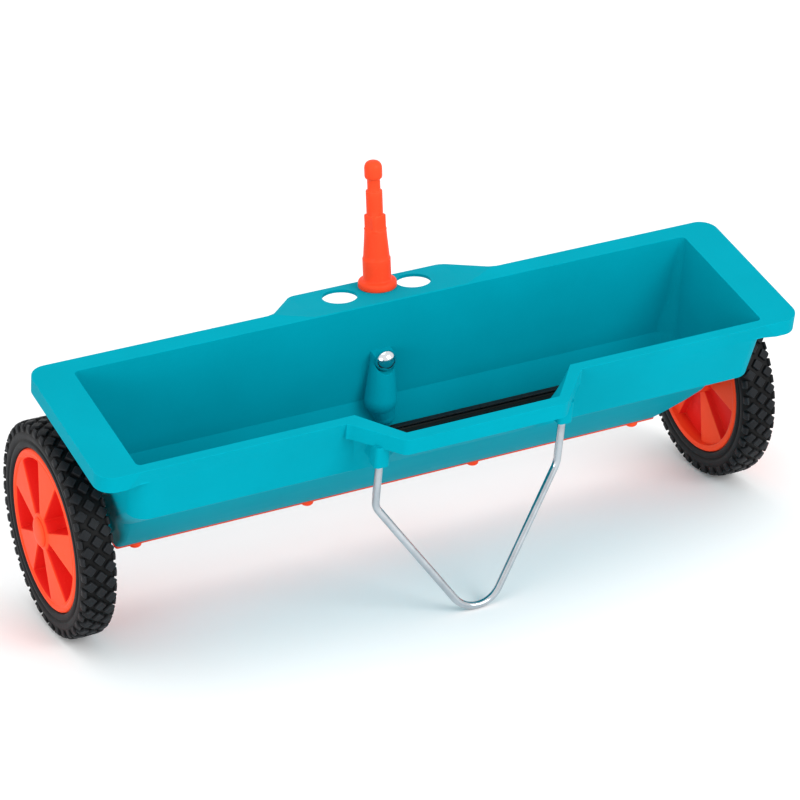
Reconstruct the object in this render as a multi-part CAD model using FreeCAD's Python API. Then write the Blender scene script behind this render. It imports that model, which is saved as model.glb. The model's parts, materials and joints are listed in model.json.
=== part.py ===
import FreeCAD, Part
import os, math
from FreeCAD import Vector as V, Rotation, Placement

os.makedirs("parts", exist_ok=True)

# ---------------------------------------------------------------------------
# Drop spreader: a moulded trough hopper on two wheels, with a wire rest in
# front, a metering roller on the axle and a metering slide below it.
#
# Everything is drawn in the hopper's own frame: X along the hopper, Y to the
# rear, Z square to the rim.  At the end the whole object is pitched nose down
# about the axle until wheels and wire rest stand on Z = 0.
# ---------------------------------------------------------------------------

# driving dimensions, mm
RIM_Z = 203.75          # top of the rim
RIM_X = 295.0           # half length of the rim
RIM_YF = -99.4          # front edge of the rim
RIM_YR = 46.6           # rear edge of the rim
LIP = 13.4              # height of the turned down lip
T_PLATE = 2.6           # rim plate
T_LIP = 2.4             # lip
OPEN_X = 263.1          # half length of the mouth
OPEN_YF = -91.4
OPEN_YR = 31.3
BULGE_Y = -134.0        # pouring bulge, outer edge
BULGE_XO = 98.0         # its foot on the rim, half width
BULGE_XI = 66.0         # its front, half width
BULGE_XR = 68.5         # the same on the right, a little wider
PLAT_Y = 78.4           # handle platform, rear edge
PLAT_Y0 = 33.0          # where the platform starts to fall
PLAT_X = 2.6            # middle of the platform
PLAT_XO = 95.0
PLAT_XI = 66.0
PLAT_TILT = math.radians(13.5)
PLAT_LIP = 4.2          # lip round the platform
HANG_X, HANG_Y, HANG_R = 31.9, 59.0, 14.0
BASE_X, BASE_Y = 5.4, 62.9           # foot of the handle adapter

WHEEL_R = 84.92
TYRE_IN, TYRE_OUT = 270.75, 298.45   # inner and outer side of a tyre
DISC_R = 64.0
AXLE_Z = WHEEL_R
AXLE_R = 5.0

ROLLER_R = 14.0
BUSH_R = 6.4                         # sleeve of an axle bush
END_L, END_R = -251.5, 249.0         # outer faces of the two end bosses
HUB_L, HUB_R = 254.0, 251.5          # inner ends of the two wheel hubs
POCKET_R = 14.8
CH_L, CH_R = -241.0, 223.0           # inside of the roller channel
FLOOR_Z = 67.5                       # underside of the channel
HOLE_PITCH = 29.0
HOLE_N = 16
HOLE_X0 = -227.0
HOLE_R = 5.0
TRAVEL = 14.5                        # metering slide travel

PIN_X, PIN_Z, PIN_R = -7.0, 159.5, 3.0     # lever pin
LEVER_Y0, LEVER_Y1 = 31.2, 35.2
TONGUE_Z = 66.3

WIRE_R = 3.0
LEG_X, LEG_Y = 77.3, -114.5
SOCK_Z0 = 172.3
BEND_Z = 131.0
V_TAN = V(18.7, -145.9, 48.8)        # where the V runs into its foot arc

LUG_X = [-227.0, -82.0, 63.0, 208.0]
LUG_Y = -12.0


# ---------------------------------------------------------------------------
# helpers
# ---------------------------------------------------------------------------
def poly_wire(pts, radii=None, z=0.0):
    """closed wire in an XY plane, corners rounded by radii"""
    n = len(pts)
    radii = radii or [0] * n
    P = [V(p[0], p[1], z) for p in pts]
    ins, outs = [], []
    for i in range(n):
        a, b, c = P[i - 1], P[i], P[(i + 1) % n]
        r = radii[i]
        if r <= 0:
            ins.append(b)
            outs.append(b)
            continue
        u = (a - b).normalize()
        w = (c - b).normalize()
        half = u.getAngle(w) / 2.0
        d = r / math.tan(half)
        ins.append(b + u * d)
        outs.append(b + w * d)
    edges = []
    for i in range(n):
        b = P[i]
        if radii[i] > 0:
            u = (P[i - 1] - b).normalize()
            w = (P[(i + 1) % n] - b).normalize()
            half = u.getAngle(w) / 2.0
            cen = b + (u + w).normalize() * (radii[i] / math.sin(half))
            mid = cen + (b - cen).normalize() * radii[i]
            edges.append(Part.Arc(ins[i], mid, outs[i]).toShape())
        j = (i + 1) % n
        if (ins[j] - outs[i]).Length > 1e-6:
            edges.append(Part.LineSegment(outs[i], ins[j]).toShape())
    return Part.Wire(edges)


def prism(pts, z0, z1, radii=None):
    return Part.Face(poly_wire(pts, radii, z0)).extrude(V(0, 0, z1 - z0))


def rect_section(z, x0, x1, y0, y1, r):
    return poly_wire([(x0, y0), (x1, y0), (x1, y1), (x0, y1)], [r] * 4, z)


def stack(sections):
    """ruled solid through rounded rectangles"""
    return Part.makeLoft([rect_section(*s) for s in sections], True, True)


def ruled(polys):
    """ruled solid through closed polygons given as lists of (x, y, z)"""
    ws = [Part.makePolygon([V(*p) for p in q] + [V(*q[0])]) for q in polys]
    return Part.makeLoft(ws, True, True)


def yz_prism(pts, x0, x1):
    """polygon in Y,Z pulled along X"""
    w = Part.makePolygon([V(x0, p[0], p[1]) for p in pts] + [V(x0, pts[0][0], pts[0][1])])
    return Part.Face(w).extrude(V(x1 - x0, 0, 0))


def cyl_x(x0, x1, r, y=0.0, z=AXLE_Z):
    a, b = min(x0, x1), max(x0, x1)
    return Part.makeCylinder(r, b - a, V(a, y, z), V(1, 0, 0))


def cyl_y(x, z, r, y0, y1):
    return Part.makeCylinder(r, y1 - y0, V(x, y0, z), V(0, 1, 0))


def box(x0, x1, y0, y1, z0, z1):
    return Part.makeBox(x1 - x0, y1 - y0, z1 - z0, V(x0, y0, z0))


def fuse(shapes):
    s = shapes[0]
    if len(shapes) > 1:
        s = s.multiFuse(shapes[1:])
    return s.removeSplitter()


def try_fillet(shape, radius, pick):
    """round the edges that pick() accepts; the sharp edge stays if it can't be rounded"""
    edges = [e for e in shape.Edges if pick(e)]
    if not edges:
        return shape
    try:
        f = shape.makeFillet(radius, edges)
        if f.isValid() and f.Volume > 0:
            return f
    except Exception:
        pass
    out = shape
    return out


def revolve_x(profile, cx_y=0.0, cx_z=AXLE_Z, angle=360.0, start=0.0):
    """profile: list of (x, radius); turned about the axle"""
    pts = [V(x, 0, r) for x, r in profile]
    f = Part.Face(Part.makePolygon(pts + [pts[0]]))
    f = f.revolve(V(0, 0, 0), V(1, 0, 0), angle)
    if start:
        f.rotate(V(0, 0, 0), V(1, 0, 0), start)
    f.translate(V(0, cx_y, cx_z))
    return f


parts = {}

# ---------------------------------------------------------------------------
# hopper shell
# ---------------------------------------------------------------------------
# outline of the rim, with the pouring bulge in front and the platform behind
outline = [(-RIM_X, RIM_YF), (-BULGE_XO, RIM_YF), (-BULGE_XI, BULGE_Y), (BULGE_XR, BULGE_Y),
           (BULGE_XO, RIM_YF), (RIM_X, RIM_YF), (RIM_X, RIM_YR), (PLAT_X + PLAT_XO, RIM_YR),
           (PLAT_X + PLAT_XI, PLAT_Y), (PLAT_X - PLAT_XI, PLAT_Y), (PLAT_X - PLAT_XO, RIM_YR), (-RIM_X, RIM_YR)]
corner_r = [14, 10, 9, 9, 10, 14, 14, 12, 10, 10, 12, 14]
rim_face = Part.Face(poly_wire(outline, corner_r, 150.0))
rim_out = rim_face.extrude(V(0, 0, 80))
rim_in = rim_face.makeOffset2D(-T_LIP, 2).extrude(V(0, 0, 80))

# the region under the top surface: flat rim, falling platform and the two
# triangles that join them
slope = math.tan(PLAT_TILT)


def under_plane(p, n, size=700.0):
    """half space below the plane through p with upward normal n"""
    n = V(*n).normalize()
    b = Part.makeBox(2 * size, 2 * size, size, V(-size, -size, -size))
    b.Placement = Placement(V(*p), Rotation(V(0, 0, 1), n))
    return b


def plane_normal(a, b, c):
    n = (V(*b) - V(*a)).cross(V(*c) - V(*a))
    return (n.x, n.y, n.z) if n.z > 0 else (-n.x, -n.y, -n.z)


z_pl = RIM_Z - (PLAT_Y - PLAT_Y0) * slope
pA = (PLAT_X - PLAT_XO, RIM_YR, RIM_Z)
pB = (PLAT_X - PLAT_XI, PLAT_Y, z_pl)
pC = (PLAT_X - PLAT_XI, PLAT_Y0, RIM_Z)
platform = under_plane((0, PLAT_Y0, RIM_Z), (0, math.sin(PLAT_TILT), math.cos(PLAT_TILT)))
left_tri = under_plane(pC, plane_normal(pA, pB, pC))
mA, mB, mC = [(2 * PLAT_X - p[0], p[1], p[2]) for p in (pA, pB, pC)]
right_tri = under_plane(mC, plane_normal(mA, mB, mC))
flat = Part.makeBox(1400, 900, 300, V(-700, -450, RIM_Z - 300))
below = platform.fuse(left_tri).fuse(right_tri).common(flat).removeSplitter()


def below_by(d):
    s = below.copy()
    s.translate(V(0, 0, -d))
    return s


rim = rim_out.common(below_by(0)).cut(below_by(LIP))
rim = rim.cut(rim_in.common(below_by(T_PLATE)))
# the platform has a low lip; a rib carries the rear lip on below it
rim = rim.cut(box(-115, 120, 48.6, 90, 100, 230).common(below_by(PLAT_LIP)))
plat_rib = box(PLAT_X - 96, PLAT_X + 96, 41.6, 44.0, RIM_Z - LIP, RIM_Z - 1.0).common(below_by(1.0))
# the front lip is drafted with the front wall, which runs up flush into it
draft = yz_prism([(RIM_YF - 3, RIM_Z), (RIM_YF, RIM_Z), (RIM_YF + 20 * .1786, RIM_Z - 20), (RIM_YF - 3, RIM_Z - 20)], -262.0, 262.0)
draft = draft.cut(box(-99.0, 99.0, -150, 0, 100, 230))
for sx in (-1, 1):
    tri = [(sx * 262.0, RIM_YF, RIM_Z), (sx * 262.0, RIM_YF + 20 * .1786, RIM_Z - 20), (sx * 279.0, RIM_YF, RIM_Z - 20)]
    rim = rim.cut(ruled([[(x, RIM_YF - 3, z) for x, y, z in tri], tri]))
rim = rim.cut(draft)

# trough, outside
outer = stack([
    (203.0, -267.5, 267.5, -99.27, 34.6, 15),
    (190.0, -266.0, 266.0, -96.94, 33.2, 15),
    (150.0, -264.0, 264.0, -89.8, 28.6, 15),
    (115.0, -257.0, 256.5, -50.0, 23.4, 11),
    (107.0, -254.5, 254.0, -45.4, 22.0, 9),
    (96.0, -250.0, 244.5, -39.2, 22.0, 7),
    (84.0, -247.0, 231.5, -32.4, 22.0, 5),
    (FLOOR_Z, -245.0, 227.0, -18.5, 22.0, 4)])
# trough, inside
inner = stack([
    (RIM_Z + 3.0, -OPEN_X - .3, OPEN_X + .3, OPEN_YF - .3, OPEN_YR + .3, 3.5),
    (150.0, -258.0, 258.0, -86.6, 25.3, 9),
    (121.0, -254.4, 254.4, -55.3, 22.0, 15),
    (113.5, -252.5, 252.5, -47.2, 18.2, 14),
    (107.5, -250.5, 250.0, -38.0, 15.1, 10),
    (98.0, -246.0, 240.0, -23.9, 10.3, 5),
    (91.0, CH_L, CH_R + .6, -13.4, 10.2, 3)])
pocket = cyl_x(CH_L, CH_R, POCKET_R)

# pouring bulge: the mouth and the wall below it run forward between the sockets
b_out = ruled([
    [(-97.5, -70, 202.5), (-97.5, -95.5, 202.5), (-66.2, -129.8, 202.5), (68.7, -129.8, 202.5), (97.5, -95.5, 202.5), (97.5, -70, 202.5)],
    [(-86, -70, 149.5), (-86, -89.7, 149.5), (-60, -90.0, 149.5), (60, -90.0, 149.5), (86, -89.7, 149.5), (86, -70, 149.5)]])
b_in = ruled([
    [(-89.5, -60, RIM_Z + 3), (-89.5, -91.6, RIM_Z + 3), (-62.2, -126.6, RIM_Z + 3), (67.0, -126.6, RIM_Z + 3), (94.2, -91.6, RIM_Z + 3), (94.2, -60, RIM_Z + 3)],
    [(-80, -60, 151.5), (-80, -84, 151.5), (-57, -86.6, 151.5), (57, -86.6, 151.5), (80, -84, 151.5), (80, -60, 151.5)]])

# sockets of the wire rest, blocks with a web back to the wall
socks = []
for sx in (-1, 1):
    x = sx * LEG_X
    blk = prism([(x - 6.2, LEG_Y - 6.1), (x + 6.2, LEG_Y - 6.1), (x + 6.2, LEG_Y + 6.1), (x - 6.2, LEG_Y + 6.1)],
                SOCK_Z0, 202.5, [3.2] * 4)
    socks.append(blk.cut(box(x - 10, x + 10, -150, -90, RIM_Z - LIP + 1.0, 210).cut(rim_out)))
    socks.append(box(x - 4.2, x + 4.2, LEG_Y, -84.0, SOCK_Z0, 202.0))

# boss inside for the lever pin: a lobe that swells down the rear wall and closes again
PIN_SEAT = 9.4
lobe_a, lobe_b, lobe_c = V(PIN_X, 23.0, PIN_Z - 0.5), V(-10.5, 13.5, 125.0), V(-7.2, 10.3, 110.5)
boss = Part.makeCone(PIN_SEAT, 13.0, (lobe_b - lobe_a).Length, lobe_a, lobe_b - lobe_a)
boss = boss.fuse(Part.makeCone(13.0, 8.0, (lobe_c - lobe_b).Length, lobe_b, lobe_c - lobe_b))
boss = boss.fuse(Part.makeSphere(13.0, lobe_b)).fuse(Part.makeSphere(8.0, lobe_c))
boss = boss.fuse(cyl_y(PIN_X, PIN_Z, PIN_SEAT, 17.6, 30))
boss_keep = outer.common(box(-60, 60, -80, 40, 101.6, PIN_Z + 4.2))
boss = boss.common(boss_keep)
out_boss = cyl_y(PIN_X, PIN_Z, 9.2, 25.0, 31.0)

# end bosses round the axle bushes
end_l = cyl_x(END_L, CH_L, 12.5)
end_r = cyl_x(CH_R, END_R, 12.5)

# ledge with the setting marks beside the lever
ledge = prism([(PIN_X - 24, 12), (PIN_X + 38, 12), (PIN_X + 38, 30.6), (PIN_X - 24, 30.6)], 100.0, 103.2, [0, 0, 3, 3])
ledge_ribs = [yz_prism([(20.5, 90.0), (20.5, 100.2), (30.0, 100.2)], x, x + 2.4) for x in (PIN_X - 22, PIN_X + 33.6)]

shell = fuse([outer, b_out, rim, plat_rib] + socks + [end_l, end_r, out_boss, ledge] + ledge_ribs)
shell = shell.cut(inner.fuse(b_in).fuse(pocket))
shell = shell.fuse(boss).removeSplitter()
# trim whatever of the boss would foul the roller
shell = shell.cut(pocket)

# outlets in the floor, bush bores, pin bore, wire bores, hang holes, adapter bore
cuts = []
for i in range(HOLE_N):
    cuts.append(Part.makeCylinder(HOLE_R, 14, V(HOLE_X0 + i * HOLE_PITCH, 0, 60)))
cuts.append(cyl_x(END_L - 2, CH_L + 1, BUSH_R + .05))
cuts.append(cyl_x(CH_R - 1, END_R + 2, BUSH_R + .05))
cuts.append(cyl_y(PIN_X, PIN_Z, PIN_R + .05, 0, 40))
cuts.append(cyl_y(PIN_X, PIN_Z, PIN_SEAT, 0, 17.42))
for sx in (-1, 1):
    cuts.append(Part.makeCylinder(WIRE_R + .04, 30.0, V(sx * LEG_X, LEG_Y, SOCK_Z0 - 4)))
n_pl = V(0, math.sin(PLAT_TILT), math.cos(PLAT_TILT))


def on_platform(x, y):
    return V(x, y, RIM_Z - (y - PLAT_Y0) * slope)


for sx in (-1, 1):
    cuts.append(Part.makeCylinder(HANG_R, 16, on_platform(PLAT_X + sx * HANG_X, HANG_Y) - n_pl * 8, n_pl))
BASE = on_platform(BASE_X, BASE_Y)
cuts.append(Part.makeCylinder(9.06, 16, BASE - n_pl * 8, n_pl))
# holes for the rail screws and the guide buttons
SCREW_X = [-232.0, -142.0, -52.0, 38.0, 128.0, 214.0]
SCREW_Y = 18.8
for x in SCREW_X:
    cuts.append(Part.makeCylinder(1.55, 9.0, V(x, SCREW_Y, FLOOR_Z - 1)))
for x in LUG_X:
    cuts.append(Part.makeCylinder(2.53, 6.2, V(x, LUG_Y, FLOOR_Z - 1)))
shell = shell.cut(Part.makeCompound(cuts))
shell = shell.Solids[0] if len(shell.Solids) == 1 else max(shell.Solids, key=lambda s: s.Volume)


# rounded edges: the rim's outer arris and the mouth
def on_rim_top(e):
    b = e.BoundBox
    if b.ZMin < RIM_Z - 0.02 and not (b.YMin > RIM_YR - 0.6 and b.ZMin > RIM_Z - 12):
        return False
    c = e.CenterOfMass
    out = (abs(abs(c.x) - RIM_X) < .6 or abs(c.y - RIM_YF) < .6 or (abs(c.y - RIM_YR) < .6) or
           (c.y < RIM_YF - 4 and abs(c.z - RIM_Z) < .05) or (abs(c.x) > RIM_X - 14 and (c.y > RIM_YR - 14 or c.y < RIM_YF + 14)))
    return out


shell_before = shell
shell = try_fillet(shell, 1.8, lambda e: on_rim_top(e) and e.BoundBox.ZMin > RIM_Z - .02
                   and (abs(abs(e.CenterOfMass.x) - RIM_X) < 6 or e.CenterOfMass.y < RIM_YF + .6 or e.CenterOfMass.y > RIM_YR - .6))
parts["hopper_shell"] = shell

# ---------------------------------------------------------------------------
# handle adapter: stepped plug square to the platform
# ---------------------------------------------------------------------------
def along(profile):
    """profile of (radius, height) turned about the platform normal at BASE"""
    pts = [V(r, 0, h) for r, h in profile]
    f = Part.Face(Part.makePolygon(pts + [pts[0]]))
    s = f.revolve(V(0, 0, 0), V(0, 0, 1), 360)
    return s


SEAT_R = 11.1
ad = along([(0, -7.5), (9.0, -7.5), (9.0, 0), (15.3, 0), (15.3, 4.6), (14.2, 6.0), (SEAT_R, 6.2), (SEAT_R, 24.2),
            (10.6, 24.8), (8.7, 47.5), (8.7, 49.0), (6.5, 50.6), (6.5, 80.2), (5.1, 80.7), (5.1, 89.5), (6.0, 90.3),
            (7.0, 91.7), (7.0, 99.3), (6.2, 101.9), (4.6, 103.6), (2.6, 104.4), (0, 104.6)])
sq = prism([(-6.7, -6.7), (6.7, -6.7), (6.7, 6.7), (-6.7, 6.7)], 48.5, 60.2, [2.5] * 4)
sq.rotate(V(0, 0, 0), V(0, 0, 1), 16)
ad = ad.fuse(sq).removeSplitter()
ad = ad.cut(Part.makeCylinder(2.05, 40, V(0, 0, -10)))
to_plat = Placement(BASE, Rotation(V(0, 0, 1), n_pl))


def put(shape, pl=None):
    s = shape.copy()
    s.Placement = (pl or to_plat).multiply(s.Placement)
    return s


parts["handle_adapter"] = put(ad)
# washer and screw that hold the adapter from below
w = Part.makeCylinder(13.0, 1.5, V(0, 0, -9.1)).cut(Part.makeCylinder(2.2, 4, V(0, 0, -10)))
parts["adapter_washer"] = put(w)
sc = Part.makeCylinder(4.0, 3.0, V(0, 0, -12.2)).fuse(Part.makeCylinder(2.0, 32.0, V(0, 0, -9.3)))
slot_cut = box(-5, 5, -.6, .6, -12.3, -11.2)
parts["adapter_screw"] = put(sc.cut(slot_cut).cut(box(-.6, .6, -5, 5, -12.3, -11.2)).removeSplitter())

# ---------------------------------------------------------------------------
# wire rest: two legs, two bends, a V and a round foot
# ---------------------------------------------------------------------------
top_z = SOCK_Z0 + 24.0
pts3 = []
Lr = V(LEG_X, LEG_Y, top_z)
Bd = V(LEG_X, LEG_Y, BEND_Z)
dirv = V(V_TAN.x - Bd.x, V_TAN.y - Bd.y, V_TAN.z - Bd.z).normalize()
# apex of the two V arms on the middle plane
tt = -Bd.x / dirv.x
APEX = Bd + dirv * tt


def mirror_x(v):
    return V(-v.x, v.y, v.z)


def corner_arc(a, b, c, r):
    u = (a - b).normalize()
    w_ = (c - b).normalize()
    half = u.getAngle(w_) / 2.0
    d = r / math.tan(half)
    cen = b + (u + w_).normalize() * (r / math.sin(half))
    mid = cen + (b - cen).normalize() * r
    return b + u * d, mid, b + w_ * d


i1, m1, o1 = corner_arc(Lr, Bd, APEX, 13.0)
FOOT_R = 23.0
i2, m2, o2 = corner_arc(Bd, APEX, mirror_x(Bd), FOOT_R)
seg = [Part.LineSegment(Lr, i1), Part.Arc(i1, m1, o1), Part.LineSegment(o1, i2), Part.Arc(i2, m2, o2),
       Part.LineSegment(mirror_x(i2), mirror_x(o1)), Part.Arc(mirror_x(o1), mirror_x(m1), mirror_x(i1)),
       Part.LineSegment(mirror_x(i1), mirror_x(Lr))]
path = Part.Wire([s.toShape() for s in seg])
prof = Part.Wire([Part.Circle(Lr, V(0, 0, 1), WIRE_R).toShape()])
wire = path.makePipeShell([prof], True, False)
parts["stand_wire"] = wire
FOOT = m2

# ---------------------------------------------------------------------------
# axle, roller and bushes
# ---------------------------------------------------------------------------
shaft = cyl_x(-296.5, 296.5, AXLE_R)
shaft = shaft.cut(Part.makeCylinder(2.02, 20, V(-9.5, 0, AXLE_Z - 10)))
shaft = shaft.cut(cyl_y(-262.0, AXLE_Z, 2.02, -10, 10))
for xx in (-291.3, 290.1):
    shaft = shaft.cut(cyl_x(xx, xx + 1.2, 6).cut(cyl_x(xx, xx + 1.2, 4.2)))
parts["axle_shaft"] = shaft

R0, R1 = CH_L + 0.8, CH_R - 0.8
rol = cyl_x(R0, R1, ROLLER_R)
fl = []
for k in range(12):
    a = math.radians(30 * k + 15)
    fl.append(cyl_x(R0 - 1, R1 + 1, 2.2, (ROLLER_R + .2) * math.cos(a), AXLE_Z + (ROLLER_R + .2) * math.sin(a)))
rol = rol.cut(Part.makeCompound(fl))
rol = rol.cut(cyl_x(R0 - 1, R1 + 1, AXLE_R + .03))
rol = rol.cut(Part.makeCylinder(2.02, 40, V(-9.5, 0, AXLE_Z - 20)))
parts["dosing_roller"] = rol
parts["roller_pin"] = Part.makeCylinder(2.0, 26.0, V(-9.5, 0, AXLE_Z - 13))


def bush(x0, x1, x2):
    """sleeve x0..x1, flange x1..x2"""
    b = cyl_x(x0, x1, BUSH_R).fuse(cyl_x(x1, x2, 11.0)).removeSplitter()
    return b.cut(cyl_x(min(x0, x2) - 1, max(x0, x2) + 1, AXLE_R + .05))


parts["axle_bush_left"] = bush(CH_L, END_L - .05, END_L - 1.6)
parts["axle_bush_right"] = bush(CH_R, END_R + .05, END_R + 1.6)

# rubber wipers along both sides of the roller
parts["seal_lip_rear"] = yz_prism([(10.15, 97.9), (10.75, 99.1), (4.5, 101.0), (4.2, 99.9)], CH_L + 1.5, CH_R - 1.5)
parts["seal_lip_front"] = yz_prism([(-19.0, 95.0), (-19.9, 96.2), (-8.4, 98.9), (-8.2, 97.7)], CH_L + 1.5, CH_R - 1.5)

# ---------------------------------------------------------------------------
# wheels
# ---------------------------------------------------------------------------
SPOKE0 = 16.0       # first spoke, degrees from the front towards the top


def wheel_disc(sx, sleeve_in, bore):
    """sx -1 left, +1 right; sleeve_in is the inner end of the hub sleeve"""
    def rv(profile, angle=360.0, start=0.0):
        return revolve_x([(sx * x, r) for x, r in profile], angle=angle, start=start)
    items = []
    # rim ring with a turned outer bead
    items.append(rv([(271.6, 58.4), (273.0, 57.6), (284, 59.6), (295.0, 57.0), (296.4, 57.6), (297.0, 59.4), (297.0, 62.6),
                     (295.6, DISC_R), (273.0, DISC_R), (271.6, 62.8)]))
    # hub and its inboard sleeve
    items.append(rv([(sleeve_in, 0), (sleeve_in, 13.6), (284.0, 14.6), (299.4, 13.5), (300.2, 12.6), (300.2, 0)]))
    # five spokes and five pockets, each a 36 degree sector; angles start at the
    # top (+Z) and the revolve turns +Z towards -Y
    for k in range(5):
        a_front = SPOKE0 + 72.0 * k
        start = (90.0 - a_front) - 18.0
        items.append(rv([(300.0, 12.0), (296.4, 59.0), (276.0, 59.0), (276.0, 12.0)], 36.0, start))
        items.append(rv([(283.6, 12.0), (285.2, 60.0), (282.2, 60.0), (280.6, 12.0)], 36.0, start + 36.0))
    env = rv([(300.0, 12.0), (296.4, 59.0), (282.2, 59.0), (280.6, 12.0)])
    walls = []
    for k in range(10):
        a_front = SPOKE0 - 18.0 + 36.0 * k
        b = box(-301, 301, -1.2, 1.2, 11.0, 60.0)
        b.rotate(V(0, 0, 0), V(1, 0, 0), 90.0 - a_front)
        b.translate(V(0, 0, AXLE_Z))
        walls.append(b.common(env))
    body = fuse(items + walls)
    body = body.cut(cyl_x(sx * (sleeve_in - 1), sx * 301, bore))
    body = body.cut(cyl_x(sx * 287.0, sx * 301.0, 9.0))
    return body


disc_l = wheel_disc(-1, HUB_L, AXLE_R + .03)
disc_l = disc_l.cut(cyl_y(-262.0, AXLE_Z, 2.02, -20, 20))
parts["wheel_disc_left"] = disc_l
parts["wheel_disc_right"] = wheel_disc(1, HUB_R, AXLE_R + .05)
parts["drive_pin"] = cyl_y(-262.0, AXLE_Z, 2.0, -13.0, 13.0)


def tyre(sx):
    p = [(275.0, 64.05), (271.6, 65.6), (270.75, 68.0), (270.75, 81.6), (271.3, 83.2), (272.6, 84.3), (274.6, 84.92),
         (294.6, 84.92), (296.6, 84.3), (297.9, 83.2), (298.45, 81.6), (298.45, 72.8), (297.7, 72.2), (297.7, 70.2),
         (298.45, 69.6), (298.45, 68.0), (297.6, 65.6), (294.2, 64.05)]
    return revolve_x([(sx * x, r) for x, r in p])


parts["tyre_left"] = tyre(-1)
parts["tyre_right"] = tyre(1)


def hub_cap(sx):
    return revolve_x([(sx * x, r) for x, r in [(297.2, 0), (297.2, 7.6), (297.2, 8.94), (300.3, 8.94), (300.3, 11.4),
                                               (301.4, 10.9), (302.2, 9.0), (302.6, 5.0), (302.7, 0)]])


parts["hub_cap_left"] = hub_cap(-1)
parts["hub_cap_right"] = hub_cap(1)


def clip(x):
    c = cyl_x(x, x + 1.0, 7.2).cut(cyl_x(x - 1, x + 2, 4.3))
    return c.cut(box(x - 1, x + 2, -2.6, 2.6, AXLE_Z, AXLE_Z + 12))


parts["axle_clips"] = Part.makeCompound([clip(-291.2), clip(290.2)])
parts["retaining_washer"] = cyl_x(287.2, 288.4, 8.6).cut(cyl_x(287, 289, AXLE_R + .06))

# ---------------------------------------------------------------------------
# metering slide, its guides, the lever and its pin
# ---------------------------------------------------------------------------
S0, S1 = 65.2, 67.3
slide = prism([(-244.8, -17.5), (226.6, -17.5), (226.6, 14.4), (-244.8, 14.4)], S0, S1, [2, 2, 3, 3])
tab = prism([(PIN_X - 11, 10), (PIN_X + 11, 10), (PIN_X + 11, 40.4), (PIN_X - 11, 40.4)], S0, S1, [0, 0, 4, 4])
slide = slide.fuse(tab).removeSplitter()
cs = []
for i in range(HOLE_N):
    x = HOLE_X0 + i * HOLE_PITCH - TRAVEL
    if x - HOLE_R > -243.0:
        cs.append(Part.makeCylinder(HOLE_R, 6, V(x, 0, 63)))
for x in LUG_X:
    s0, s1 = x - TRAVEL, x
    cs.append(prism([(s0 - 2.9, LUG_Y - 2.9), (s1 + 2.9, LUG_Y - 2.9), (s1 + 2.9, LUG_Y + 2.9), (s0 - 2.9, LUG_Y + 2.9)], 63, 69, [2.85] * 4))
cs.append(box(PIN_X - 4.6, PIN_X + 4.6, LEVER_Y0 - .6, LEVER_Y1 + .6, 60, 70))
slide = slide.cut(Part.makeCompound([c for c in cs if c]))
parts["metering_slide"] = slide

# round guide buttons pushed into the channel floor: they carry the slide's front edge
btn = []
for x in LUG_X:
    b = Part.makeCylinder(2.5, 7.6, V(x, LUG_Y, 64.9))
    h = Part.makeCylinder(5.4, 4.4, V(x, LUG_Y, 60.6))
    h = h.makeFillet(2.2, [e for e in h.Edges if abs(e.CenterOfMass.z - 60.6) < .01 and e.BoundBox.XLength > 1])
    btn.append(h.fuse(b).removeSplitter())
parts["guide_buttons"] = Part.makeCompound(btn)

# angle rails under the slide's rear edge, left and right of the lever's tab
rail_sec = [(14.9, S1 + .15), (14.9, 65.0), (11.0, 65.0), (11.0, 62.9), (21.8, 62.9), (21.8, S1 + .15)]
rl = yz_prism(rail_sec, -244.0, PIN_X - 13)
rr = yz_prism(rail_sec, PIN_X + 28, 226.0)
hole = Part.makeCompound([Part.makeCylinder(1.6, 8, V(x, SCREW_Y, 61)) for x in SCREW_X])
parts["guide_rail_left"] = rl.cut(hole)
parts["guide_rail_right"] = rr.cut(hole)
scr = []
for x in SCREW_X:
    s = Part.makeCylinder(1.5, 11.0, V(x, SCREW_Y, 62.8)).fuse(Part.makeCylinder(3.0, 1.8, V(x, SCREW_Y, 61.0)))
    s = s.removeSplitter().cut(box(x - 2.2, x + 2.2, SCREW_Y - .4, SCREW_Y + .4, 60.9, 61.8))
    scr.append(s)
parts["rail_screws"] = Part.makeCompound(scr)

# lever: hub on the pin, arm down to a rounded tongue in the slide's window, and
# a grip that stands out to the rear
GRIP_Z = 116.0
arm = Part.Face(Part.Wire([Part.LineSegment(V(PIN_X - 7, LEVER_Y0, PIN_Z), V(PIN_X - 4, LEVER_Y0, TONGUE_Z)).toShape(),
                           Part.Arc(V(PIN_X - 4, LEVER_Y0, TONGUE_Z), V(PIN_X, LEVER_Y0, TONGUE_Z - 4), V(PIN_X + 4, LEVER_Y0, TONGUE_Z)).toShape(),
                           Part.LineSegment(V(PIN_X + 4, LEVER_Y0, TONGUE_Z), V(PIN_X + 7, LEVER_Y0, PIN_Z)).toShape(),
                           Part.LineSegment(V(PIN_X + 7, LEVER_Y0, PIN_Z), V(PIN_X - 7, LEVER_Y0, PIN_Z)).toShape()]))
arm = arm.extrude(V(0, LEVER_Y1 - LEVER_Y0, 0))
hub = cyl_y(PIN_X, PIN_Z, 9.5, LEVER_Y0, LEVER_Y1)
grip = cyl_y(PIN_X, GRIP_Z, 6.0, LEVER_Y0, 62.0)
grip = grip.fuse(Part.makeSphere(7.6, V(PIN_X, 62.0, GRIP_Z)))
lever = arm.fuse(hub).fuse(grip).removeSplitter()
lever = lever.cut(cyl_y(PIN_X, PIN_Z, PIN_R + .06, 20, 50))
parts["metering_lever"] = lever

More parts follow.
